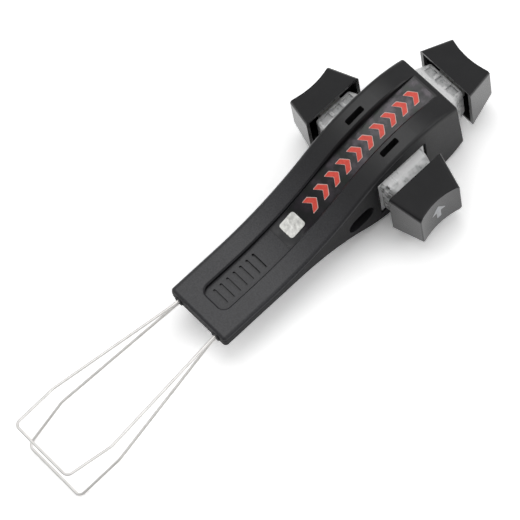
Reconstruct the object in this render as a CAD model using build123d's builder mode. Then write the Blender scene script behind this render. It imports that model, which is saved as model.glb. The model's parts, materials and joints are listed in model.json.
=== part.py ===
from build123d import *
import os
from math import asin, atan2, cos, hypot, sin

# Keycap puller, in millimetres: a moulded handle with two bent steel wire loops at one end
# and, in the thick head at the other end, three key switches that each carry a keycap.
# +Y runs from the wires to the head, +Z is up and X is across the width.
# The origin lies on the flat belly that the puller rests on, below the axis of the side keys.

# Key switch base: levels are distances outward from the plane that the flange seats on
cutout = 14.0
base_clearance = 0.05
base_depth = 5.0
base_wall = 1.1
base_floor = 1.2
flange_width = 15.6
flange_thickness = 1.0
pin_diameter = 3.9
pin_length = 3.0
pin_end_wall = 0.6
clip_width = 4.4
clip_height = 1.0
clip_reach = 0.4
clip_level = 2.4

# Key switch cover
cover_height = 5.4
cover_foot_width = 14.1
cover_waist_width = 13.5
cover_waist_height = 2.2
cover_top_width = 11.6
cover_wall = 1.0
cover_corner = 0.6
cover_inner_corner = 0.4
cover_edge = 0.25
well_count = 3
well_width = 2.8
well_height = 2.2
well_pitch = 3.7
well_depth = 0.6
well_level = 4.7
notch_width = 1.2
notch_height = 1.2
notch_level = 2.8
notch_reach = 2.0
notch_offset = 6.4

# Stem and its guides
travel = 3.6
cross_span = 4.0
cross_arm = 1.2
cross_rise = 3.5
sleeve_width = 6.9
sleeve_rise = 2.4
sleeve_clearance = 0.2
window_clearance = 0.15
slider_lip = 0.6
slider_height = 3.4
slider_gap = 0.1
pole_diameter = 2.0
pole_clearance = 0.08
pole_end_gap = 0.2
guide_wall = 0.6
guide_gap = 0.4

# Return spring
spring_wire = 0.3
spring_turns = 5.5
spring_clearance = 0.25
spring_seat_gap = 0.05

# Contacts
contact_thickness = 0.25
contact_width = 2.6
contact_rise = 3.6
contact_wall_gap = 0.5
contact_spread = 2.6
contact_lean = 0.6
terminal_width = 1.2
terminal_length = 2.6
terminal_clearance = 0.1

# Keycap
cap_base = 18.0
cap_top = 13.5
cap_height = 8.95
cap_top_drop = 0.8
cap_wall = 1.0
cap_ceiling_wall = 1.1
cap_roof = 1.4
cap_base_corner = 1.0
cap_top_corner = 1.2
cap_edge = 0.3
cap_rim_clearance = 1.15
dish_depth = 1.2
post_diameter = 5.6
post_recess = 0.7
socket_clearance = 0.05
socket_end_gap = 0.3

# Handle body
pocket_margin = 0.55
pocket_depth = 1.4
pocket_corner = 0.6
back_gap = 1.2
inner_wall = 3.8
belly_wall = 4.85
crest_wall = 5.45
handle_length = 61.45
handle_thickness = 4.4
handle_drop = 1.5
top_flare_y = -46.0
crest_y = 7.0
crest_radius = 47.0
end_top_drop = 2.9
belly_flare_y = -36.0
belly_front_y = -1.0
belly_rear_y = 12.0
belly_radius = 26.0
end_belly_rise = 2.8
end_lean = 0.4
edge_radius = 1.2
wire_end_radius = 1.0
head_end_radius = 0.6

# Groove along the top, its grip marks and its label
groove_width = 8.2
groove_depth = 1.6
groove_corner = 2.0
groove_margin = 5.3
groove_crest_y = 12.0
groove_crest_drop = 2.3
groove_radius = 80.0
rim_bevel = 0.4
rim_overcut = 0.2
mark_count = 7
mark_length = 5.2
mark_width = 0.7
mark_pitch = 2.2
mark_margin = 2.6
mark_depth = 0.5
label_front_y = -33.0
label_rear_y = 17.9
label_margin = 0.3
label_thickness = 0.15

# Clip slots and lanyard hole
slot_length = 5.6
slot_width = 1.65
slot_corner = 0.4
clip_recess = 0.6
lanyard_length = 8.3
lanyard_height = 6.0
lanyard_wall = 3.55
lanyard_drop = 1.7
lanyard_tilt = 7.0

# Wire loops
wire_diameter = 0.8
wire_clearance = 0.05
wire_grip = 12.0
wire_rest_gap = 0.02
leg_pitch = 1.1
exit_spacing = 13.4
exit_boss_diameter = 2.6
exit_boss_length = 0.35
exit_stub = 1.5
exit_radius = 8.0
bend_reach = 38.0
bend_width = 21.4
bend_rise = 5.5
bend_radius = 4.0
tip_reach = 51.1
tip_width = 19.0
tip_rise = 8.6
tip_radius = 1.6

# Levels of the switch, outward from its seat
base_width = cutout - 2 * base_clearance
base_inner = base_width - 2 * base_wall
floor_level = base_floor - base_depth
pin_end_level = -base_depth - pin_length
terminal_end_level = -base_depth - terminal_length
cover_top_level = flange_thickness + cover_height
waist_level = flange_thickness + cover_waist_height
roof_level = cover_top_level - cover_wall
slider_top = roof_level - slider_gap
slider_bottom = slider_top - slider_height
pole_end_level = pin_end_level + pin_end_wall + pole_end_gap + travel
guide_level = slider_bottom - travel - guide_gap
guide_bore = pole_diameter + 2 * pole_clearance
guide_diameter = guide_bore + 2 * guide_wall
window_width = sleeve_width + 2 * window_clearance
slider_width = window_width + 2 * slider_lip
cross_top = cover_top_level + cross_rise
contact_offset = base_inner / 2 - contact_wall_gap

# Levels of the keycap, outward from the switch's seat
rim_level = pocket_depth + travel + cap_rim_clearance
cap_top_level = rim_level + cap_height
ceiling_level = cap_top_level - dish_depth - cap_roof
dish_radius = ((cap_top / 2) ** 2 + dish_depth**2) / (2 * dish_depth)

# Places of the seats and of the handle's main faces
pocket_width = flange_width + 2 * pocket_margin
seat_depth = base_depth + pin_length + back_gap / 2
half_width = seat_depth + pocket_depth
key_axis_z = pocket_width / 2 + belly_wall
end_seat_y = cutout / 2 + inner_wall + base_depth + pin_length
head_end_y = end_seat_y + pocket_depth
wire_end_y = -handle_length
crest_z = key_axis_z + pocket_width / 2 + crest_wall
handle_mid_z = key_axis_z - handle_drop
handle_top_z = handle_mid_z + handle_thickness / 2
handle_bottom_z = handle_mid_z - handle_thickness / 2
groove_front_y = wire_end_y + groove_margin
slot_x = seat_depth - clip_level
lanyard_y = -cutout / 2 - lanyard_wall - lanyard_length / 2
lanyard_z = key_axis_z - lanyard_drop

# Each seat plane looks outward along its key's axis, with its own Y axis up
seats = {
    "left": Plane((-seat_depth, 0, key_axis_z), x_dir=(0, -1, 0), z_dir=(-1, 0, 0)),
    "right": Plane((seat_depth, 0, key_axis_z), x_dir=(0, 1, 0), z_dir=(1, 0, 0)),
    "end": Plane((0, end_seat_y, key_axis_z), x_dir=(-1, 0, 0), z_dir=(0, 1, 0)),
}

# The right switch sits the other way up, with the plain side of its cover on top
right_seat = seats["right"]
turned_seat = Plane(right_seat.origin, x_dir=-right_seat.x_dir, z_dir=right_seat.z_dir)
switch_seats = {"left": seats["left"], "right": turned_seat, "end": seats["end"]}

os.makedirs("parts", exist_ok=True)


def turning_point(start, crest, radius):
    """Where a curve that leaves start level meets the arc of that radius that ends level at crest."""
    run, rise = crest[0] - start[0], crest[1] - start[1]
    both_radii = (run**2 + rise**2) / (2 * abs(rise))
    share = radius / both_radii
    return (crest[0] - run * share, crest[1] - rise * share)


def swan_curve(start, crest, radius):
    """Adds two arcs that leave start level, turn over once and end level at crest."""
    middle = turning_point(start, crest, radius)
    hollow = TangentArc(start, middle, tangent=(1, 0))
    TangentArc(middle, crest, tangent=hollow % 1)


def groove_section(lift):
    """The region above the groove's floor, raised by lift, as a sketch in the YZ plane."""
    floor_z = handle_top_z - groove_depth + lift
    front = (groove_front_y, floor_z)
    flare = (top_flare_y, floor_z)
    crest = (groove_crest_y, crest_z - groove_crest_drop + lift)
    clear_z = crest_z + groove_depth + lift
    with BuildSketch(Plane.YZ) as section:
        with BuildLine():
            Line(front, flare)
            swan_curve(flare, crest, groove_radius)
            Polyline(crest, (head_end_y, crest[1]), (head_end_y, clear_z), (front[0], clear_z), front)
        make_face()
    return section.sketch


def rim_outline(lift):
    """The groove's bevelled rim on the level front part, lift above the handle's top."""
    grow = rim_bevel + lift
    length = top_flare_y - groove_front_y + grow
    with BuildSketch(Plane.XY.offset(handle_top_z + lift)) as outline:
        with Locations((0, top_flare_y)):
            RectangleRounded(groove_width + 2 * grow, 2 * length, groove_corner + grow)
            Rectangle(2 * half_width, length, align=(Align.CENTER, Align.MIN), mode=Mode.SUBTRACT)
    return outline.sketch


def rim_section(side, lift):
    """The region above the head's top on one side of the groove, raised by lift; it ends clear of the top."""
    flare = (top_flare_y, handle_top_z + lift)
    crest = (crest_y, crest_z + lift)
    end = (head_end_y - end_lean, crest_z - end_top_drop + rim_overcut)
    clear_z = crest_z + groove_depth
    with BuildSketch(Plane.YZ.offset(side * (groove_width / 2 + rim_bevel + lift))) as section:
        with BuildLine():
            swan_curve(flare, crest, crest_radius)
            TangentArc(crest, end, tangent=(1, 0))
            Polyline(end, (end[0], clear_z), (flare[0], clear_z), flare)
        make_face()
    return section.sketch


def side_plane(seat, offset):
    """The plane through a switch along its axis: X is the seat's Y, and Y points outward."""
    return Plane(seat.origin + seat.x_dir * offset, x_dir=seat.y_dir, z_dir=seat.x_dir)


# Handle body: the side outline across the full width, with every outer edge rounded
with BuildPart() as handle_body:
    with BuildSketch(Plane.YZ):
        with BuildLine():
            top_front = (wire_end_y, handle_top_z)
            top_flare = (top_flare_y, handle_top_z)
            crest = (crest_y, crest_z)
            end_top = (head_end_y - end_lean, crest_z - end_top_drop)
            end_belly = (head_end_y + end_lean, end_belly_rise)
            belly_rear = (belly_rear_y, 0)
            belly_front = (belly_front_y, 0)
            belly_flare = (belly_flare_y, handle_bottom_z)
            bottom_front = (wire_end_y, handle_bottom_z)
            Line(top_front, top_flare)
            swan_curve(top_flare, crest, crest_radius)
            TangentArc(crest, end_top, tangent=(1, 0))
            Line(end_top, end_belly)
            TangentArc(belly_rear, end_belly, tangent=(1, 0))
            Line(belly_rear, belly_front)
            swan_curve(belly_flare, belly_front, belly_radius)
            Polyline(belly_flare, bottom_front, top_front)
        make_face()
    extrude(amount=half_width, both=True)
    outline = handle_body.edges().filter_by(Axis.X, reverse=True).group_by(Axis.Y)
    fillet([edge for group in outline[1:-1] for edge in group], edge_radius)
    for end, radius in ((0, wire_end_radius), (-1, head_end_radius)):
        fillet(handle_body.faces().sort_by(Axis.Y)[end].edges(), radius)

    # Groove with rounded front corners, which runs out where the top falls towards the end
    extrude(groove_section(0), amount=groove_width / 2, both=True, mode=Mode.SUBTRACT)
    fillet(handle_body.edges(Select.LAST).filter_by(Axis.Z), groove_corner)

    # Bevel round the groove's rim: first on the level front part, then along the head's curve
    rim_lifts = (-rim_bevel - rim_overcut, rim_overcut)
    loft([rim_outline(lift) for lift in rim_lifts], mode=Mode.SUBTRACT)
    for side in (1, -1):
        loft([rim_section(side, lift) for lift in rim_lifts], ruled=True, mode=Mode.SUBTRACT)

    # Grip marks across the groove's floor
    first_mark_y = groove_front_y + mark_margin
    with BuildSketch(Plane.XY.offset(handle_top_z - groove_depth - mark_depth)):
        with Locations(*[(0, first_mark_y + mark_pitch * step) for step in range(mark_count)]):
            SlotOverall(mark_length, mark_width)
    extrude(amount=groove_depth, mode=Mode.SUBTRACT)

    # Pockets and openings for the switches; the two side switches share one opening
    for seat in seats.values():
        with BuildSketch(seat):
            RectangleRounded(pocket_width, pocket_width, pocket_corner)
        extrude(amount=pocket_depth + end_lean, mode=Mode.SUBTRACT)
    with BuildSketch(Plane.YZ):
        with Locations((0, key_axis_z)):
            Rectangle(cutout, cutout)
    extrude(amount=seat_depth, both=True, mode=Mode.SUBTRACT)
    with BuildSketch(seats["end"]):
        Rectangle(cutout, cutout)
    extrude(amount=pin_end_level, mode=Mode.SUBTRACT)

    # Slots through the head that the side switches' clips spring into, and blind ones for the end
    with BuildSketch(Plane.XY):
        with Locations((-slot_x, 0), (slot_x, 0)):
            RectangleRounded(slot_width, slot_length, slot_corner)
    extrude(amount=crest_z, mode=Mode.SUBTRACT)
    with BuildSketch(side_plane(seats["end"], 0)):
        with Locations((0, -clip_level)):
            Rectangle(cutout + 2 * clip_recess, slot_width)
    extrude(amount=slot_length / 2, both=True, mode=Mode.SUBTRACT)

    # Lanyard hole through the neck
    with BuildSketch(Plane.YZ):
        with Locations((lanyard_y, lanyard_z)):
            SlotOverall(lanyard_length, lanyard_height, rotation=lanyard_tilt)
    extrude(amount=half_width, both=True, mode=Mode.SUBTRACT)

    # Low bosses on the wire end, with sockets for the four legs of the wire loops
    exit_face = Plane((0, wire_end_y - exit_boss_length, handle_mid_z), z_dir=(0, -1, 0), x_dir=(1, 0, 0))
    with BuildSketch(exit_face):
        with Locations((-exit_spacing / 2, 0), (exit_spacing / 2, 0)):
            Circle(exit_boss_diameter / 2)
    extrude(amount=-exit_boss_length - wire_end_radius)
    with BuildSketch(exit_face):
        with GridLocations(exit_spacing, leg_pitch, 2, 2):
            Circle(wire_diameter / 2 + wire_clearance)
    extrude(amount=-exit_boss_length - wire_grip, mode=Mode.SUBTRACT)
handle_body.part.label = "handle_body"
export_step(handle_body.part, "parts/handle_body.step")

# Label: a thin film on the groove's floor
with BuildPart() as label:
    extrude(groove_section(0), amount=groove_width / 2 - label_margin, both=True)
    extrude(groove_section(label_thickness), amount=groove_width / 2, both=True, mode=Mode.SUBTRACT)
    with BuildSketch(Plane.XY):
        with Locations((0, (label_front_y + label_rear_y) / 2)):
            Rectangle(groove_width, label_rear_y - label_front_y)
    extrude(amount=crest_z, mode=Mode.INTERSECT)
label.part.label = "label"
export_step(label.part, "parts/label.step")


def wire_point(reach, width, rise):
    """A point on a loop: reach along the wires' middle line, rise square to it, width to one side."""
    y = wire_end_y - reach * cos(droop) - rise * sin(droop)
    z = handle_mid_z - reach * sin(droop) + rise * cos(droop)
    return Vector(width / 2, y, z)


# The pair of loops droops until the tip of the lower one lies level with the belly
tip_distance = hypot(tip_reach, tip_rise)
tip_fall = handle_mid_z - wire_diameter / 2 - wire_rest_gap
droop = asin(tip_fall / tip_distance) - atan2(tip_rise, tip_reach)

for loop_name, side in (("wire_loop_upper", 1), ("wire_loop_lower", -1)):
    leg_z = handle_mid_z + side * leg_pitch / 2
    right_leg = [
        Vector(exit_spacing / 2, wire_end_y + wire_grip, leg_z),
        Vector(exit_spacing / 2, wire_end_y - exit_stub, leg_z),
        wire_point(bend_reach, bend_width, side * bend_rise),
        wire_point(tip_reach, tip_width, side * tip_rise),
    ]
    left_leg = [Vector(-point.X, point.Y, point.Z) for point in reversed(right_leg)]
    leg_radii = [exit_radius, bend_radius, tip_radius]
    with BuildPart() as wire_loop:
        with BuildLine() as route:
            FilletPolyline(*right_leg, *left_leg, radius=leg_radii + leg_radii[::-1])
        with BuildSketch(Plane(route.line @ 0, z_dir=route.line % 0)):
            Circle(wire_diameter / 2)
        sweep(path=route.line)
    wire_loop.part.label = loop_name
    export_step(wire_loop.part, f"parts/{loop_name}.step")


def make_base(seat):
    """Lower housing: an open box with a flange, clips, a hollow pin and a guide for the stem's pole."""
    with BuildPart() as base:
        with BuildSketch(seat.offset(-base_depth)):
            Rectangle(base_width, base_width)
        extrude(amount=base_depth)
        with BuildSketch(seat):
            Rectangle(flange_width, flange_width)
        extrude(amount=flange_thickness)
        with BuildSketch(seat.offset(floor_level)):
            Rectangle(base_inner, base_inner)
        extrude(amount=flange_thickness - floor_level, mode=Mode.SUBTRACT)
        with BuildSketch(seat.offset(floor_level)):
            Circle(guide_diameter / 2)
        extrude(amount=guide_level - floor_level)
        with BuildSketch(seat.offset(pin_end_level)):
            Circle(pin_diameter / 2)
        extrude(amount=pin_length)
        with BuildSketch(seat.offset(pin_end_level + pin_end_wall)):
            Circle(guide_bore / 2)
        extrude(amount=guide_level - pin_end_level - pin_end_wall, mode=Mode.SUBTRACT)
        with BuildSketch(seat.offset(-base_depth)):
            with Locations((-contact_spread, contact_offset), (contact_spread, contact_offset)):
                Rectangle(terminal_width + 2 * terminal_clearance, contact_thickness + 2 * terminal_clearance)
        extrude(amount=base_floor, mode=Mode.SUBTRACT)
        with BuildSketch(side_plane(seat, 0)):
            for side in (1, -1):
                foot = side * base_width / 2
                tip = side * (cutout / 2 + clip_reach)
                top = clip_height / 2 - clip_level
                Polygon((foot, top), (tip, top), (foot, top - clip_height), align=None)
        extrude(amount=clip_width / 2, both=True)
    return base


def cut_square(plane, width, corner):
    """A square with its corners cut off, as a sketch on a plane."""
    with BuildSketch(plane) as square:
        Rectangle(width, width)
        chamfer(square.vertices(), corner)
    return square.sketch


def make_cover(seat):
    """Upper housing: a steep foot and a tapered shell with a window, wells in one side and a notch opposite."""
    widths = (cover_foot_width, cover_waist_width, cover_top_width)
    lean = (cover_waist_width - cover_top_width) / 2
    taper_height = cover_top_level - waist_level
    with BuildPart() as cover:
        outer_levels = (flange_thickness, waist_level, cover_top_level)
        outer = [
            cut_square(seat.offset(level), width, cover_corner)
            for level, width in zip(outer_levels, widths)
        ]
        loft(outer, ruled=True)
        fillet(cover.faces().sort_by(Axis(seat.origin, seat.z_dir))[-1].edges(), cover_edge)
        inner_levels = (flange_thickness, waist_level, roof_level)
        inner = [
            cut_square(seat.offset(level), width - 2 * cover_wall, cover_inner_corner)
            for level, width in zip(inner_levels, widths)
        ]
        loft(inner, ruled=True, mode=Mode.SUBTRACT)
        with BuildSketch(seat.offset(roof_level)):
            Rectangle(window_width, window_width)
        extrude(amount=cover_wall, mode=Mode.SUBTRACT)
        well_offset = cover_waist_width / 2 - lean * (well_level - waist_level) / taper_height
        well_centre = seat.origin + seat.y_dir * well_offset + seat.z_dir * well_level
        leaning_out = seat.y_dir * taper_height + seat.z_dir * lean
        with BuildSketch(Plane(well_centre, x_dir=seat.x_dir, z_dir=leaning_out)):
            with GridLocations(well_pitch, well_height, well_count, 1):
                Rectangle(well_width, well_height)
        extrude(amount=-well_depth, mode=Mode.SUBTRACT)
        notch_start = seat.origin - seat.y_dir * (cover_foot_width / 2 - notch_reach)
        with BuildSketch(Plane(notch_start, x_dir=seat.x_dir, z_dir=-seat.y_dir)):
            with Locations((notch_offset, notch_level)):
                Rectangle(notch_width, notch_height)
        extrude(amount=notch_reach, mode=Mode.SUBTRACT)
    return cover


def make_stem(seat):
    """Slider with a cross for the keycap, a square sleeve round it and a pole below."""
    with BuildPart() as stem:
        with BuildSketch(seat.offset(slider_bottom)):
            Rectangle(slider_width, slider_width)
        extrude(amount=slider_height)
        with BuildSketch(seat.offset(slider_top)):
            Rectangle(sleeve_width, sleeve_width)
            Circle(post_diameter / 2 + sleeve_clearance, mode=Mode.SUBTRACT)
        extrude(amount=cover_top_level + sleeve_rise - slider_top)
        with BuildSketch(seat.offset(slider_top)):
            Rectangle(cross_span, cross_arm)
            Rectangle(cross_arm, cross_span)
        extrude(amount=cross_top - slider_top)
        with BuildSketch(seat.offset(pole_end_level)):
            Circle(pole_diameter / 2)
        extrude(amount=slider_bottom - pole_end_level)
    return stem


def make_spring(seat):
    """Return spring round the pole's guide, from the base's floor to the slider."""
    coil_radius = guide_diameter / 2 + spring_clearance + spring_wire / 2
    end_gap = spring_wire / 2 + spring_seat_gap
    coil_height = slider_bottom - floor_level - 2 * end_gap
    with BuildPart() as spring:
        with BuildLine(seat.offset(floor_level + end_gap)) as coil:
            Helix(coil_height / spring_turns, coil_height, coil_radius, direction=seat.z_dir)
        with BuildSketch(Plane(coil.line @ 0, z_dir=coil.line % 0)):
            Circle(spring_wire / 2)
        sweep(path=coil.line, is_frenet=True)
    return spring


def make_contact(seat, spread, lean):
    """Sheet contact: a leaf beside the slider, leaning towards it at the top, and a terminal below."""
    with BuildPart() as contact:
        with BuildSketch(side_plane(seat, spread)):
            with BuildLine():
                knee = floor_level + contact_rise / 2
                Polyline(
                    (contact_offset, floor_level),
                    (contact_offset, knee),
                    (contact_offset - lean, floor_level + contact_rise),
                )
            trace(line_width=contact_thickness)
        extrude(amount=contact_width / 2, both=True)
        with BuildSketch(side_plane(seat, spread)):
            with BuildLine():
                Line((contact_offset, terminal_end_level), (contact_offset, floor_level))
            trace(line_width=contact_thickness)
        extrude(amount=terminal_width / 2, both=True)
    return contact


def make_keycap(seat):
    """Hollow tapered keycap with a dished top and a post with a cross socket."""
    inner_rim = cap_base - 2 * cap_wall
    inner_ceiling = cap_top - 2 * cap_ceiling_wall
    with BuildPart() as keycap:
        with BuildSketch(seat.offset(rim_level)):
            RectangleRounded(cap_base, cap_base, cap_base_corner)
        with BuildSketch(seat.offset(cap_top_level)):
            with Locations((0, -cap_top_drop)):
                RectangleRounded(cap_top, cap_top, cap_top_corner)
        loft()
        with BuildSketch(seat.offset(rim_level)):
            Rectangle(inner_rim, inner_rim)
        with BuildSketch(seat.offset(ceiling_level)):
            with Locations((0, -cap_top_drop)):
                Rectangle(inner_ceiling, inner_ceiling)
        loft(mode=Mode.SUBTRACT)
        dish_plane = Plane(seat.origin, x_dir=seat.x_dir, z_dir=-seat.y_dir)
        with BuildSketch(dish_plane):
            with Locations((0, cap_top_level - dish_depth + dish_radius)):
                Circle(dish_radius)
        extrude(amount=cap_base, both=True, mode=Mode.SUBTRACT)
        fillet(keycap.edges(Select.LAST), cap_edge)
        with BuildSketch(seat.offset(rim_level + post_recess)):
            Circle(post_diameter / 2)
        extrude(amount=ceiling_level - rim_level - post_recess)
        with BuildSketch(seat.offset(rim_level + post_recess)):
            Rectangle(cross_span + 2 * socket_clearance, cross_arm + 2 * socket_clearance)
            Rectangle(cross_arm + 2 * socket_clearance, cross_span + 2 * socket_clearance)
        extrude(amount=cross_top + socket_end_gap - rim_level - post_recess, mode=Mode.SUBTRACT)
    return keycap


# Three key switches with their keycaps, each on its own seat
for side, seat in switch_seats.items():
    pieces = {
        "switch_base": make_base(seat),
        "switch_cover": make_cover(seat),
        "stem": make_stem(seat),
        "spring": make_spring(seat),
        "fixed_contact": make_contact(seat, -contact_spread, 0),
        "moving_contact": make_contact(seat, contact_spread, contact_lean),
        "keycap": make_keycap(seats[side]),
    }
    for piece, built in pieces.items():
        built.part.label = f"{side}_{piece}"
        export_step(built.part, f"parts/{side}_{piece}.step")
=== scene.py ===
"""Keycap puller: finishes, printed marks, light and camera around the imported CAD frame."""
import json

import bmesh
import bpy
from mathutils import Matrix, Vector
from mathutils.bvhtree import BVHTree

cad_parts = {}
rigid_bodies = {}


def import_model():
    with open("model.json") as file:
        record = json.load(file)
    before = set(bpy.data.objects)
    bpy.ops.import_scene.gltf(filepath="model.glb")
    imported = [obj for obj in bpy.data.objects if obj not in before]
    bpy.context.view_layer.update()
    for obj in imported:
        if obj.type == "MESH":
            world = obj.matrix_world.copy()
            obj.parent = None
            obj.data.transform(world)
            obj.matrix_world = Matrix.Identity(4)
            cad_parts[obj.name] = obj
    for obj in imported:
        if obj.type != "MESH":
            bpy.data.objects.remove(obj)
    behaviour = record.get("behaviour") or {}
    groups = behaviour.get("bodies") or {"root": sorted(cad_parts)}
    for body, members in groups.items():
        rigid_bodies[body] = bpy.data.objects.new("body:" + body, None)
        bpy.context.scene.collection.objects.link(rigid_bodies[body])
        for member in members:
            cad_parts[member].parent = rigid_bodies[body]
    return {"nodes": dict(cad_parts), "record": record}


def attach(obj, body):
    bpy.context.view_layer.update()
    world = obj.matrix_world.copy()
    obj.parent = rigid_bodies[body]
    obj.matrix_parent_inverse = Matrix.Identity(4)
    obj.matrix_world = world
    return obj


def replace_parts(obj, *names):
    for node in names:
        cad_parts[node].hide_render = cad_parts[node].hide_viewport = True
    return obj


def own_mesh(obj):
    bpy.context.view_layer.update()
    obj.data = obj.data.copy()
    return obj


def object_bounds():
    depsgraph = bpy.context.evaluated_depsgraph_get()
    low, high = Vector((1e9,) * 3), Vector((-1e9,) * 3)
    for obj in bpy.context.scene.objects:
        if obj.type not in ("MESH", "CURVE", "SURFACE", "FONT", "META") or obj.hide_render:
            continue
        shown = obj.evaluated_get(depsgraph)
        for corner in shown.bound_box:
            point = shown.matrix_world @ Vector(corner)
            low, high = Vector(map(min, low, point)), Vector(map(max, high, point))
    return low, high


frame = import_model()
cad_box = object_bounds()
nodes = frame["nodes"]
scene = bpy.context.scene
MM = 0.001

# Camera: fitted to the corners of the keycaps in the photograph
CAMERA_PLACE = Vector((0.30397, -0.21088, 0.83459))
CAMERA_RIGHT = Vector((0.68182, 0.72444, -0.10159))
CAMERA_UP = Vector((-0.64749, 0.66227, 0.37704))
CAMERA_LENS = 248.93
CAMERA_SENSOR = 36.0

# Light: softboxes overhead and at the right in a white tent that is open, and so dark, on the camera's side
AIM = Vector((0.0, -0.03, 0.01))
KEY_PLACE = Vector((-0.18, 0.08, 0.95))
KEY_SIZE = 0.60
KEY_WATTS = 2.6
SIDE_PLACE = Vector((0.60, 0.42, 0.62))
SIDE_SIZE = 0.45
SIDE_WATTS = 1.5
TENT_AXIS = Vector((-0.35, 0.25, 0.90)).normalized()
TENT_EDGE, TENT_FULL = 0.0, 0.26
TENT_BRIGHT = (0.64, 0.64, 0.64)
TENT_DARK = (0.02, 0.02, 0.02)

# Floor: its colour for the light that falls on things, and its brighter look where it is seen
FLOOR_HALF = 6.0
FLOOR_COLOUR = (0.90, 0.90, 0.90, 1.0)
FLOOR_SEEN = (1.46, 1.46, 1.46, 1.0)
FLOOR_LIFT = 0.02

# Chevrons on the label, across (x) and along (y) the handle
CHEVRON_FIRST_Y = -23.0 * MM
CHEVRON_LAST_Y = 12.6 * MM
CHEVRON_COUNT = 10
CHEVRON_HALF_WIDTH = 2.0 * MM
CHEVRON_STROKE = 1.5 * MM
CHEVRON_POINT = 1.5 * MM
CHEVRON_RIM = 0.14 * MM

# Foil patch in front of the chevrons
PATCH_CENTRE = (-0.2 * MM, -28.5 * MM)
PATCH_HALF = 2.5 * MM
PATCH_CORNER = 0.9 * MM

# Plain mark on the outer face of the right keycap, along (y) and up (z)
ARROW_FOOT_Z = 9.6 * MM
ARROW_NECK_Z = 12.8 * MM
ARROW_TIP_Z = 15.8 * MM
ARROW_STEM_HALF = 0.7 * MM
ARROW_HEAD_HALF = 2.3 * MM

# Prints: corners, thickness above the surface and depth below it, and the size of their facets
PRINT_CORNER = 0.25 * MM
CORNER_STEPS = 5
THIN_PRINT = 0.03 * MM
THICK_PRINT = 0.05 * MM
PRINT_SINK = 0.03 * MM
PRINT_STEP = 0.4 * MM

# Noise: colours and roughness spread along the middle of its values
NOISE_LOW, NOISE_HIGH = 0.3, 0.7

# Black plastic: the fine texture that the handle and the keycaps share
PLASTIC_IOR = 1.5
FINE_WIDTH, FINE_DEPTH = 0.16 * MM, 0.006 * MM

# Handle: on its upper faces a coarse grip texture, greyer there with a painted sheen of the overhead light,
# fades to the head's finish between these places; the walls keep the head's darker colour, which paints shade
# on them
GRIP_SHEEN_FADE_START = -28.0 * MM
GRIP_SHEEN_FADE_END = -4.0 * MM
GRIP_SHEEN_COLOURS = ((0.016, 0.016, 0.018), (0.033, 0.033, 0.037))
GRIP_WIDTH, GRIP_DEPTH = 0.38 * MM, 0.012 * MM
HEAD_COLOURS = ((0.005, 0.005, 0.006), (0.009, 0.009, 0.010))
HEAD_CLOUD_WIDTH = 5.0 * MM

# Handle: its walls are rougher than its upper faces, and duller as far as the neck
WALL_SLOPE, TOP_SLOPE = 0.15, 0.45
WALL_ROUGHNESS = (0.56, 0.66)
TOP_ROUGHNESS = (0.32, 0.42)
DULL_WALL_END = -6.0 * MM
GLOSSY_WALL_START = 8.0 * MM
DULL_LEVEL, GLOSSY_LEVEL = 0.14, 0.40

# Keycaps
KEYCAP_COLOURS = ((0.011, 0.011, 0.012), (0.015, 0.015, 0.016))
KEYCAP_ROUGHNESS = (0.18, 0.26)
KEYCAP_LEVEL = 0.30
KEYCAP_CLOUD_WIDTH = 6.0 * MM
KEYCAP_BUMP_WIDTH, KEYCAP_BUMP_DEPTH = 0.6 * MM, 0.008 * MM

# Label: a lighter grey front, then a black film with a painted faint green and violet sheen, whose painted
# reflections grow lighter towards the head
GREY_FRONT_START = -30.5 * MM
GREY_FRONT_END = -26.0 * MM
REFLECTION_START = -30.0 * MM
REFLECTION_FULL = 8.0 * MM
GREY_FRONT_COLOURS = ((0.040, 0.040, 0.042), (0.046, 0.046, 0.048), (0.054, 0.054, 0.056))
BLACK_COLOURS = ((0.004, 0.006, 0.005), (0.005, 0.005, 0.006), (0.008, 0.005, 0.009))
PAINTED_REFLECTION_COLOURS = ((0.040, 0.050, 0.043), (0.056, 0.054, 0.058), (0.130, 0.115, 0.130))
FILM_LOW, FILM_HIGH = 0.35, 0.65
FILM_ROUGHNESS = (0.14, 0.28)
FILM_LEVEL = 0.22
FILM_CLOUD_WIDTH = 3.5 * MM
FILM_WAVE_WIDTH, FILM_WAVE_DEPTH = 5.0 * MM, 0.35 * MM
FILM_GRAIN_WIDTH, FILM_GRAIN_DEPTH = 0.25 * MM, 0.006 * MM

# Metals: colours, roughness, and how far their fine lines are drawn out along x, y and z
WIRE_COLOURS = ((0.68, 0.665, 0.65), (0.78, 0.765, 0.75))
WIRE_ROUGHNESS = (0.38, 0.52)
WIRE_STRETCH = (1.0, 30.0, 1.0)
SPRING_COLOURS = ((0.55, 0.55, 0.54), (0.68, 0.68, 0.67))
SPRING_ROUGHNESS = (0.2, 0.32)
SPRING_STRETCH = (1.0, 1.0, 1.0)
BRASS_COLOURS = ((0.68, 0.51, 0.26), (0.80, 0.63, 0.36))
BRASS_ROUGHNESS = (0.22, 0.36)
BRASS_STRETCH = (1.0, 1.0, 12.0)
LINE_WIDTH, LINE_DEPTH = 0.12 * MM, 0.001 * MM
METAL_CLOUD_WIDTH = 2.0 * MM

# Foil of the patch
FOIL_COLOURS = ((0.50, 0.50, 0.48), (0.80, 0.80, 0.77))
FOIL_ROUGHNESS = (0.28, 0.5)
FOIL_METALLIC = 0.85
CREASE_WIDTH, CREASE_DEPTH = 1.1 * MM, 0.12 * MM

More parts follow.
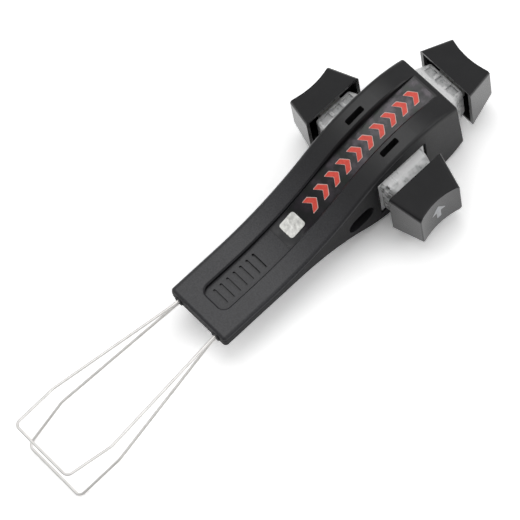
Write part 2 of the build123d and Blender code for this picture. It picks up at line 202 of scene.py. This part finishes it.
# Key switches: seats, outer faces of the covers, and where a cover turns from milky to mottled and to thin,
# with painted shade in the thin wells
SIDE_SEAT_X = 8.6 * MM
END_SEAT_Y = 18.8 * MM
KEY_AXIS_Z = 13.2 * MM
COVER_WAIST_LEVEL, COVER_WAIST_HALF = 3.2 * MM, 6.75 * MM
COVER_TOP_LEVEL, COVER_TOP_HALF = 6.4 * MM, 5.8 * MM
MILKY_LEVEL, MOTTLED_LEVEL = 3.0 * MM, 3.6 * MM
THICK_INSET, THIN_INSET = 0.34 * MM, 0.50 * MM

# Clear plastic of the switch housings: milky foot, mottled outer part, ends with darker blotches of painted
# shade, and thin wells darkened by painted shade
FOOT_COLOURS = ((0.90, 0.91, 0.91), (0.98, 0.98, 0.98))
MOTTLED_COLOURS = ((0.58, 0.59, 0.59), (1.0, 1.0, 1.0))
MOTTLED_LOW, MOTTLED_HIGH = 0.38, 0.62
END_SHADE_COLOURS = ((0.16, 0.16, 0.16), (0.90, 0.90, 0.90))
END_SLOPE_LOW, END_SLOPE_HIGH = 0.6, 0.8
END_BLOTCH_WIDTH = 1.2 * MM
THIN_SHADE_COLOURS = ((0.60, 0.61, 0.61), (0.80, 0.80, 0.80))
THIN_LOW, THIN_HIGH = 0.35, 0.65
CLEAR_ROUGHNESS = (0.24, 0.40)
CLEAR_TRANSMISSION = 0.20
CLEAR_SCATTER = 0.7
CLEAR_SCATTER_RADIUS = (1.0, 1.0, 1.0)
CLEAR_SCATTER_SCALE = 0.6 * MM
CLEAR_CLOUD_WIDTH = 1.3 * MM
BLOTCH_WIDTH = 1.8 * MM
CLEAR_BUMP_WIDTH, CLEAR_BUMP_DEPTH = 1.5 * MM, 0.01 * MM

# White plastic of the stems
STEM_COLOURS = ((0.72, 0.72, 0.70), (0.82, 0.82, 0.80))
STEM_ROUGHNESS = (0.30, 0.42)
STEM_CLOUD_WIDTH = 1.5 * MM
STEM_BUMP_WIDTH, STEM_BUMP_DEPTH = 0.3 * MM, 0.004 * MM

# Inks
RED_COLOURS = ((0.62, 0.065, 0.045), (0.76, 0.095, 0.07))
PALE_COLOURS = ((0.60, 0.42, 0.38), (0.72, 0.52, 0.48))
LABEL_INK_ROUGHNESS = (0.3, 0.42)
GREY_COLOURS = ((0.40, 0.41, 0.43), (0.52, 0.53, 0.55))
KEYCAP_INK_ROUGHNESS = (0.35, 0.5)
INK_LEVEL = 0.25
INK_CLOUD_WIDTH, INK_CLOUD_DEPTH = 0.7 * MM, 0.02 * MM

# Sockets of the colour Mix node
MIX_A, MIX_B, MIX_RESULT = 6, 7, 2


# Node helpers

def feed(tree, socket, value):
    """Links a socket to another node's output, or sets a plain value on it."""
    if isinstance(value, bpy.types.NodeSocket):
        tree.links.new(value, socket)
    else:
        socket.default_value = value


def calculate(tree, operation, *values):
    """A Math node on outputs or plain numbers."""
    node = tree.nodes.new("ShaderNodeMath")
    node.operation = operation
    for socket, value in zip(node.inputs, values):
        feed(tree, socket, value)
    return node.outputs["Value"]


def remap(tree, value, start, end, low=0.0, high=1.0, interpolation="LINEAR"):
    """Low where a value is at or below start, high at or above end."""
    span = tree.nodes.new("ShaderNodeMapRange")
    span.interpolation_type = interpolation
    settings = {"Value": value, "From Min": start, "From Max": end, "To Min": low, "To Max": high}
    for socket, setting in settings.items():
        feed(tree, span.inputs[socket], setting)
    return span.outputs["Result"]


def spread(tree, pattern, low, high):
    """Values from low to high along the middle of a pattern."""
    return remap(tree, pattern, NOISE_LOW, NOISE_HIGH, low, high)


def blend(tree, share, first, second):
    """Mixes two colours or values: share 0 gives the first."""
    mix = tree.nodes.new("ShaderNodeMix")
    mix.data_type = "RGBA"
    for socket, value in (("Factor", share), (MIX_A, first), (MIX_B, second)):
        feed(tree, mix.inputs[socket], value)
    return mix.outputs[MIX_RESULT]


def shade(tree, pattern, colours, low=NOISE_LOW, high=NOISE_HIGH):
    """Colours along a pattern, evenly spaced from low to high."""
    ramp = tree.nodes.new("ShaderNodeValToRGB")
    elements = ramp.color_ramp.elements
    while len(elements) < len(colours):
        elements.new(0.5)
    for step, colour in enumerate(colours):
        elements[step].position = low + (high - low) * step / (len(colours) - 1)
        elements[step].color = (*colour, 1.0)
    feed(tree, ramp.inputs["Fac"], pattern)
    return ramp.outputs["Color"]


def split_axes(tree, vector):
    """The X, Y and Z of a vector."""
    split = tree.nodes.new("ShaderNodeSeparateXYZ")
    feed(tree, split.inputs["Vector"], vector)
    return [split.outputs[axis] for axis in "XYZ"]


def part_place(tree):
    """A point's place in the part's own frame, in metres."""
    return tree.nodes.new("ShaderNodeTexCoord").outputs["Object"]


def along_handle(tree, start, end):
    """0 before start and 1 after end along the handle, in metres."""
    y = split_axes(tree, part_place(tree))[1]
    return remap(tree, y, start, end, interpolation="SMOOTHSTEP")


def facing(tree, axis, start, end):
    """0 on faces that hardly look along an axis of the part, either way, and 1 on those that do."""
    normal = tree.nodes.new("ShaderNodeNewGeometry").outputs["Normal"]
    share = split_axes(tree, normal)["XYZ".index(axis)]
    return remap(tree, calculate(tree, "ABSOLUTE", share), start, end)


def grain(tree, width, detail=2.0, stretch=(1.0, 1.0, 1.0)):
    """Noise with features about width metres wide, drawn out by stretch along the part's axes."""
    scale = tree.nodes.new("ShaderNodeMapping")
    scale.inputs["Scale"].default_value = [1.0 / (width * factor) for factor in stretch]
    feed(tree, scale.inputs["Vector"], part_place(tree))
    noise = tree.nodes.new("ShaderNodeTexNoise")
    noise.inputs["Scale"].default_value = 1.0
    noise.inputs["Detail"].default_value = detail
    feed(tree, noise.inputs["Vector"], scale.outputs["Vector"])
    return noise.outputs["Fac"]


def relief(tree, *layers):
    """A bumped normal from (pattern, depth in metres) pairs."""
    normal = None
    for pattern, depth in layers:
        bump = tree.nodes.new("ShaderNodeBump")
        bump.inputs["Strength"].default_value = 1.0
        bump.inputs["Distance"].default_value = depth
        feed(tree, bump.inputs["Height"], pattern)
        if normal:
            feed(tree, bump.inputs["Normal"], normal)
        normal = bump.outputs["Normal"]
    return normal


def new_material(name):
    """A material with one Principled shader, and its node tree."""
    material = bpy.data.materials.new(name)
    material.use_nodes = True
    return material, material.node_tree


def coat(tree, values):
    """Sets or links the sockets of a material's Principled shader by name."""
    surface = tree.nodes["Principled BSDF"]
    for name, value in values.items():
        feed(tree, surface.inputs[name], value)


# Finishes

def body_plastic():
    """Handle plastic: a grip texture with a painted sheen on its upper faces that fades to the head's finish,
    painted shade in the darker colour of the walls, which are also rougher and duller.
    """
    material, tree = new_material("body_plastic")
    fine = grain(tree, FINE_WIDTH, detail=3.0)
    coarse = grain(tree, GRIP_WIDTH, detail=3.0)
    head = along_handle(tree, GRIP_SHEEN_FADE_START, GRIP_SHEEN_FADE_END)
    tops = facing(tree, "Z", WALL_SLOPE, TOP_SLOPE)
    # painted sheen: the grip's upper faces get a greyer colour than the walls and the head
    grip_sheen_colour = shade(tree, coarse, GRIP_SHEEN_COLOURS)
    head_colour = shade(tree, grain(tree, HEAD_CLOUD_WIDTH, detail=3.0), HEAD_COLOURS)
    sheened_top_colour = blend(tree, head, grip_sheen_colour, head_colour)
    rough_walls = spread(tree, fine, *WALL_ROUGHNESS)
    smooth_tops = spread(tree, fine, *TOP_ROUGHNESS)
    glossy_walls = along_handle(tree, DULL_WALL_END, GLOSSY_WALL_START)
    glossy = calculate(tree, "MAXIMUM", tops, glossy_walls)
    coat(tree, {
        "IOR": PLASTIC_IOR,
        # the walls keep the head's darker colour, as painted shade beside the greyer tops
        "Base Color": blend(tree, tops, head_colour, sheened_top_colour),
        "Roughness": blend(tree, tops, rough_walls, smooth_tops),
        "Specular IOR Level": spread(tree, glossy, DULL_LEVEL, GLOSSY_LEVEL),
        "Normal": relief(tree, (coarse, GRIP_DEPTH), (fine, FINE_DEPTH)),
    })
    return material


def keycap_plastic():
    """Black moulded plastic with a fine spark-eroded texture."""
    material, tree = new_material("keycap_plastic")
    fine = grain(tree, FINE_WIDTH, detail=3.0)
    coat(tree, {
        "IOR": PLASTIC_IOR,
        "Specular IOR Level": KEYCAP_LEVEL,
        "Base Color": shade(tree, grain(tree, KEYCAP_CLOUD_WIDTH, detail=3.0), KEYCAP_COLOURS),
        "Roughness": spread(tree, fine, *KEYCAP_ROUGHNESS),
        "Normal": relief(tree, (fine, FINE_DEPTH), (grain(tree, KEYCAP_BUMP_WIDTH), KEYCAP_BUMP_DEPTH)),
    })
    return material


def label_film():
    """Dark glossy label film that lies a little wavy, with a painted faint green and violet sheen and painted
    reflections that grow lighter towards the head.
    """
    material, tree = new_material("label_film")
    cloud = grain(tree, FILM_CLOUD_WIDTH, detail=4.0)
    wave = grain(tree, FILM_WAVE_WIDTH)
    all_colours = (GREY_FRONT_COLOURS, BLACK_COLOURS, PAINTED_REFLECTION_COLOURS)
    grey_front, black, painted_reflection = (shade(tree, cloud, colours, FILM_LOW, FILM_HIGH) for colours in all_colours)
    # painted reflections: the black film turns lighter towards the head; its colours also carry a painted
    # green and violet sheen
    film_and_reflection = blend(tree, along_handle(tree, REFLECTION_START, REFLECTION_FULL), black, painted_reflection)
    coat(tree, {
        "IOR": PLASTIC_IOR,
        "Specular IOR Level": FILM_LEVEL,
        "Base Color": blend(tree, along_handle(tree, GREY_FRONT_START, GREY_FRONT_END), grey_front, film_and_reflection),
        "Roughness": spread(tree, cloud, *FILM_ROUGHNESS),
        "Normal": relief(tree, (wave, FILM_WAVE_DEPTH), (grain(tree, FILM_GRAIN_WIDTH), FILM_GRAIN_DEPTH)),
    })
    return material


def metal(name, colours, roughness, stretch):
    """Drawn or rolled metal with fine lines along the long direction."""
    material, tree = new_material(name)
    lines = grain(tree, LINE_WIDTH, stretch=stretch)
    coat(tree, {
        "Metallic": 1.0,
        "Base Color": shade(tree, grain(tree, METAL_CLOUD_WIDTH, detail=3.0), colours),
        "Roughness": spread(tree, lines, *roughness),
        "Normal": relief(tree, (lines, LINE_DEPTH)),
    })
    return material


def foil():
    """Crinkled silver foil."""
    material, tree = new_material("foil")
    crease = grain(tree, CREASE_WIDTH, detail=4.0)
    coat(tree, {
        "Metallic": FOIL_METALLIC,
        "Base Color": shade(tree, crease, FOIL_COLOURS),
        "Roughness": spread(tree, crease, *FOIL_ROUGHNESS),
        "Normal": relief(tree, (crease, CREASE_DEPTH)),
    })
    return material


def switch_places(tree):
    """Places on a key switch: level outward from the seat, and depth in from the cover's outer face."""
    x, y, z = split_axes(tree, part_place(tree))
    out_x = calculate(tree, "ABSOLUTE", x)
    side_level = calculate(tree, "SUBTRACT", out_x, SIDE_SEAT_X)
    end_level = calculate(tree, "SUBTRACT", y, END_SEAT_Y)
    level = calculate(tree, "MAXIMUM", side_level, end_level)
    on_side = calculate(tree, "GREATER_THAN", out_x, SIDE_SEAT_X)
    across = tree.nodes.new("ShaderNodeMix")
    for socket, value in (("Factor", on_side), ("A", x), ("B", y)):
        feed(tree, across.inputs[socket], value)
    from_middle = calculate(tree, "ABSOLUTE", across.outputs["Result"])
    from_height = calculate(tree, "ABSOLUTE", calculate(tree, "SUBTRACT", z, KEY_AXIS_Z))
    from_axis = calculate(tree, "MAXIMUM", from_middle, from_height)
    face = remap(tree, level, COVER_WAIST_LEVEL, COVER_TOP_LEVEL, COVER_WAIST_HALF, COVER_TOP_HALF)
    return level, calculate(tree, "SUBTRACT", face, from_axis)


def clear_plastic():
    """Clear plastic: milky at its thick foot, mottled further out and on its ends, with painted shade
    darkening the ends and the thin wells.
    """
    material, tree = new_material("clear_housing")
    cloud = grain(tree, CLEAR_CLOUD_WIDTH, detail=4.0)
    blotches = grain(tree, BLOTCH_WIDTH, detail=1.0)
    level, inset = switch_places(tree)
    foot = shade(tree, cloud, FOOT_COLOURS)
    mottled = shade(tree, blotches, MOTTLED_COLOURS, MOTTLED_LOW, MOTTLED_HIGH)
    # painted shade: the thin wells get a darker colour
    thin = shade(tree, cloud, THIN_SHADE_COLOURS, THIN_LOW, THIN_HIGH)
    sides = blend(tree, remap(tree, level, MILKY_LEVEL, MOTTLED_LEVEL), foot, mottled)
    # painted shade: darker blotches on the faces that look along the handle
    ends = shade(tree, grain(tree, END_BLOTCH_WIDTH, detail=1.0), END_SHADE_COLOURS, MOTTLED_LOW, MOTTLED_HIGH)
    thick = blend(tree, facing(tree, "Y", END_SLOPE_LOW, END_SLOPE_HIGH), sides, ends)
    coat(tree, {
        "IOR": PLASTIC_IOR,
        "Transmission Weight": CLEAR_TRANSMISSION,
        "Subsurface Weight": CLEAR_SCATTER,
        "Subsurface Radius": CLEAR_SCATTER_RADIUS,
        "Subsurface Scale": CLEAR_SCATTER_SCALE,
        "Base Color": blend(tree, remap(tree, inset, THICK_INSET, THIN_INSET), thick, thin),
        "Roughness": spread(tree, cloud, *CLEAR_ROUGHNESS),
        "Normal": relief(tree, (grain(tree, CLEAR_BUMP_WIDTH), CLEAR_BUMP_DEPTH)),
    })
    return material


def white_plastic():
    """Smooth white moulded plastic of the stems."""
    material, tree = new_material("stem_plastic")
    cloud = grain(tree, STEM_CLOUD_WIDTH, detail=3.0)
    coat(tree, {
        "IOR": PLASTIC_IOR,
        "Base Color": shade(tree, cloud, STEM_COLOURS),
        "Roughness": spread(tree, cloud, *STEM_ROUGHNESS),
        "Normal": relief(tree, (grain(tree, STEM_BUMP_WIDTH), STEM_BUMP_DEPTH)),
    })
    return material


def ink(name, colours, roughness):
    """Screen-printed ink with slightly uneven cover."""
    material, tree = new_material(name)
    cloud = grain(tree, INK_CLOUD_WIDTH, detail=4.0)
    coat(tree, {
        "IOR": PLASTIC_IOR,
        "Specular IOR Level": INK_LEVEL,
        "Base Color": shade(tree, cloud, colours),
        "Roughness": spread(tree, cloud, *roughness),
        "Normal": relief(tree, (cloud, INK_CLOUD_DEPTH)),
    })
    return material


finishes = {
    "body_plastic": body_plastic(),
    "keycap_plastic": keycap_plastic(),
    "label_film": label_film(),
    "steel_wire": metal("steel_wire", WIRE_COLOURS, WIRE_ROUGHNESS, WIRE_STRETCH),
    "spring_steel": metal("spring_steel", SPRING_COLOURS, SPRING_ROUGHNESS, SPRING_STRETCH),
    "contact_brass": metal("contact_brass", BRASS_COLOURS, BRASS_ROUGHNESS, BRASS_STRETCH),
    "clear_housing": clear_plastic(),
    "stem_plastic": white_plastic(),
}
for part in frame["record"]["subparts"]:
    for material_slot in nodes[part["node"]].material_slots:
        material_slot.material = finishes[part["material_slot"]]


# Printed marks

def rounded(corners, radius):
    """A closed outline with its corners rounded."""
    outline = []
    for i, corner in enumerate(corners):
        middle = Vector(corner)
        ends = []
        for other in (corners[i - 1], corners[(i + 1) % len(corners)]):
            run = Vector(other) - middle
            ends.append(middle + run.normalized() * min(radius, run.length / 2))
        for k in range(CORNER_STEPS + 1):
            t = k / CORNER_STEPS
            outline.append(ends[0] * (1 - t) ** 2 + middle * 2 * t * (1 - t) + ends[1] * t ** 2)
    return outline


def chevron(tip_y, grow):
    """A chevron that points along the handle, enlarged all round by grow."""
    half = CHEVRON_HALF_WIDTH + grow
    back = tip_y - CHEVRON_POINT - CHEVRON_STROKE - grow
    front = back + CHEVRON_STROKE + 2 * grow
    corners = ((-half, back), (0.0, back + CHEVRON_POINT), (half, back),
               (half, front), (0.0, front + CHEVRON_POINT), (-half, front))
    return rounded(corners, PRINT_CORNER)


def square(centre, half, corner):
    """A rounded square outline."""
    x, y = centre
    corners = ((x - half, y - half), (x + half, y - half), (x + half, y + half), (x - half, y + half))
    return rounded(corners, corner)


def cut_squares(work):
    """Cuts the flat faces of a mesh into small squares, so that they can follow a curve."""
    for axis in (Vector((1, 0, 0)), Vector((0, 1, 0))):
        reach = [vert.co.dot(axis) for vert in work.verts]
        cut = min(reach) + PRINT_STEP
        while cut < max(reach):
            everything = work.verts[:] + work.edges[:] + work.faces[:]
            bmesh.ops.bisect_plane(work, geom=everything, plane_co=axis * cut, plane_no=axis)
            cut += PRINT_STEP


def printed(name, outlines, node, lay, thickness, finish, body):
    """Flat outlines laid as a thin print on the surface of a CAD node; lay gives each point's ray onto it."""
    mesh = nodes[node].data
    carrier = BVHTree.FromPolygons([v.co for v in mesh.vertices], [p.vertices for p in mesh.polygons])
    work = bmesh.new()
    for outline in outlines:
        work.faces.new([work.verts.new((a, b, 0.0)) for a, b in outline])
    cut_squares(work)
    top = bmesh.ops.extrude_face_region(work, geom=work.faces[:])["geom"]
    raised = {vert for vert in top if isinstance(vert, bmesh.types.BMVert)}
    for vert in work.verts:
        start, direction = lay(vert.co.x, vert.co.y)
        place, normal, _, _ = carrier.ray_cast(start, direction)
        out = normal if normal.dot(direction) < 0 else -normal
        vert.co = place + out * (thickness if vert in raised else -PRINT_SINK)
    bmesh.ops.recalc_face_normals(work, faces=work.faces[:])
    data = bpy.data.meshes.new(name)
    work.to_mesh(data)
    work.free()
    data.materials.append(finish)
    piece = bpy.data.objects.new(name, data)
    scene.collection.objects.link(piece)
    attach(piece, body)


def onto_label(x, y):
    """A ray down onto the label."""
    return Vector((x, y, cad_box[1][2] + MM)), Vector((0, 0, -1))


def onto_right_keycap(y, z):
    """A ray onto the outer face of the right keycap."""
    return Vector((cad_box[1][0] + MM, y, z)), Vector((-1, 0, 0))


red_ink = ink("red_ink", RED_COLOURS, LABEL_INK_ROUGHNESS)
pale_ink = ink("pale_ink", PALE_COLOURS, LABEL_INK_ROUGHNESS)
grey_ink = ink("grey_ink", GREY_COLOURS, KEYCAP_INK_ROUGHNESS)

pitch = (CHEVRON_LAST_Y - CHEVRON_FIRST_Y) / (CHEVRON_COUNT - 1)
tips = [CHEVRON_FIRST_Y + CHEVRON_STROKE + CHEVRON_POINT + pitch * k for k in range(CHEVRON_COUNT)]
printed("label_chevron_rims", [chevron(tip, CHEVRON_RIM) for tip in tips], "label", onto_label,
        THIN_PRINT, pale_ink, "handle")
printed("label_chevrons", [chevron(tip, 0.0) for tip in tips], "label", onto_label,
        THICK_PRINT, red_ink, "handle")
printed("label_foil_patch", [square(PATCH_CENTRE, PATCH_HALF, PATCH_CORNER)], "label", onto_label,
        THICK_PRINT, foil(), "handle")

arrow_corners = (
    (-ARROW_STEM_HALF, ARROW_FOOT_Z), (ARROW_STEM_HALF, ARROW_FOOT_Z), (ARROW_STEM_HALF, ARROW_NECK_Z),
    (ARROW_HEAD_HALF, ARROW_NECK_Z), (0.0, ARROW_TIP_Z), (-ARROW_HEAD_HALF, ARROW_NECK_Z),
    (-ARROW_STEM_HALF, ARROW_NECK_Z))
printed("right_keycap_arrow", [rounded(arrow_corners, PRINT_CORNER)], "right_keycap", onto_right_keycap,
        THIN_PRINT, grey_ink, "right_key")


# Return springs

def return_spring(joint, spring):
    """A copy of a key's spring, put on the joint's parent body in place of its CAD node; the real spring
    shortens as the key goes in, one end on the base and one on the stem.
    """
    piece = bpy.data.objects.new(spring["node"] + "_coil", nodes[spring["node"]].data.copy())
    scene.collection.objects.link(piece)
    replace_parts(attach(piece, joint["parent"]), spring["node"])
    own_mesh(piece)


for key_joint in frame["record"]["behaviour"]["joints"]:
    for deforming in key_joint["deforming_nodes"]:
        return_spring(key_joint, deforming)


# Floor, lamps and tent

def seen_rays(tree):
    """1 for rays that show the background (camera, mirror, glass), 0 for light falling on things."""
    rays = tree.nodes.new("ShaderNodeLightPath").outputs
    mirror_or_glass = calculate(tree, "MAXIMUM", rays["Is Glossy Ray"], rays["Is Transmission Ray"])
    return calculate(tree, "MAXIMUM", rays["Is Camera Ray"], mirror_or_glass)


def paper():
    """White table paper that keeps the shadow and is lifted to white where it is seen."""
    material, tree = new_material("paper")
    material.cycles.emission_sampling = "NONE"
    tree.nodes.remove(tree.nodes["Principled BSDF"])
    seen = seen_rays(tree)
    diffuse = tree.nodes.new("ShaderNodeBsdfDiffuse")
    feed(tree, diffuse.inputs["Color"], blend(tree, seen, FLOOR_COLOUR, FLOOR_SEEN))
    glow = tree.nodes.new("ShaderNodeEmission")
    feed(tree, glow.inputs["Strength"], calculate(tree, "MULTIPLY", seen, FLOOR_LIFT))
    both = tree.nodes.new("ShaderNodeAddShader")
    feed(tree, both.inputs[0], diffuse.outputs["BSDF"])
    feed(tree, both.inputs[1], glow.outputs["Emission"])
    feed(tree, tree.nodes["Material Output"].inputs["Surface"], both.outputs["Shader"])
    return material


def softbox(name, place, size, watts):
    """A square lamp that faces the object."""
    lamp = bpy.data.lights.new(name, "AREA")
    lamp.shape = "SQUARE"
    lamp.size = size
    lamp.energy = watts
    holder = bpy.data.objects.new(name, lamp)
    holder.location = place
    holder.rotation_euler = (AIM - place).to_track_quat("-Z", "Y").to_euler()
    scene.collection.objects.link(holder)


def white_tent():
    """A world that is bright round TENT_AXIS and dark on the other side."""
    world = bpy.data.worlds.new("tent")
    world.use_nodes = True
    tree = world.node_tree
    towards = tree.nodes.new("ShaderNodeVectorMath")
    towards.operation = "DOT_PRODUCT"
    feed(tree, towards.inputs[0], tree.nodes.new("ShaderNodeTexCoord").outputs["Generated"])
    feed(tree, towards.inputs[1], TENT_AXIS)
    walls = shade(tree, towards.outputs["Value"], (TENT_DARK, TENT_BRIGHT), TENT_EDGE, TENT_FULL)
    feed(tree, tree.nodes["Background"].inputs["Color"], walls)
    return world


floor_mesh = bpy.data.meshes.new("floor")
floor_corners = [(x * FLOOR_HALF, y * FLOOR_HALF, 0.0) for x, y in ((-1, -1), (1, -1), (1, 1), (-1, 1))]
floor_mesh.from_pydata(floor_corners, [], [(0, 1, 2, 3)])
floor_mesh.materials.append(paper())
floor = bpy.data.objects.new("floor", floor_mesh)
scene.collection.objects.link(floor)

softbox("key_softbox", KEY_PLACE, KEY_SIZE, KEY_WATTS)
softbox("side_softbox", SIDE_PLACE, SIDE_SIZE, SIDE_WATTS)
scene.world = white_tent()


# Camera and colour

def photo_camera():
    """The camera at the photograph's place, with its lens."""
    lens = bpy.data.cameras.new("photo_camera")
    lens.lens = CAMERA_LENS
    lens.sensor_width = CAMERA_SENSOR
    lens.sensor_fit = "HORIZONTAL"
    holder = bpy.data.objects.new("photo_camera", lens)
    back = CAMERA_RIGHT.cross(CAMERA_UP)
    turn = Matrix((CAMERA_RIGHT, CAMERA_UP, back)).transposed()
    holder.matrix_world = Matrix.Translation(CAMERA_PLACE) @ turn.to_4x4()
    scene.collection.objects.link(holder)
    return holder


scene.camera = photo_camera()
scene.view_settings.view_transform = "Standard"
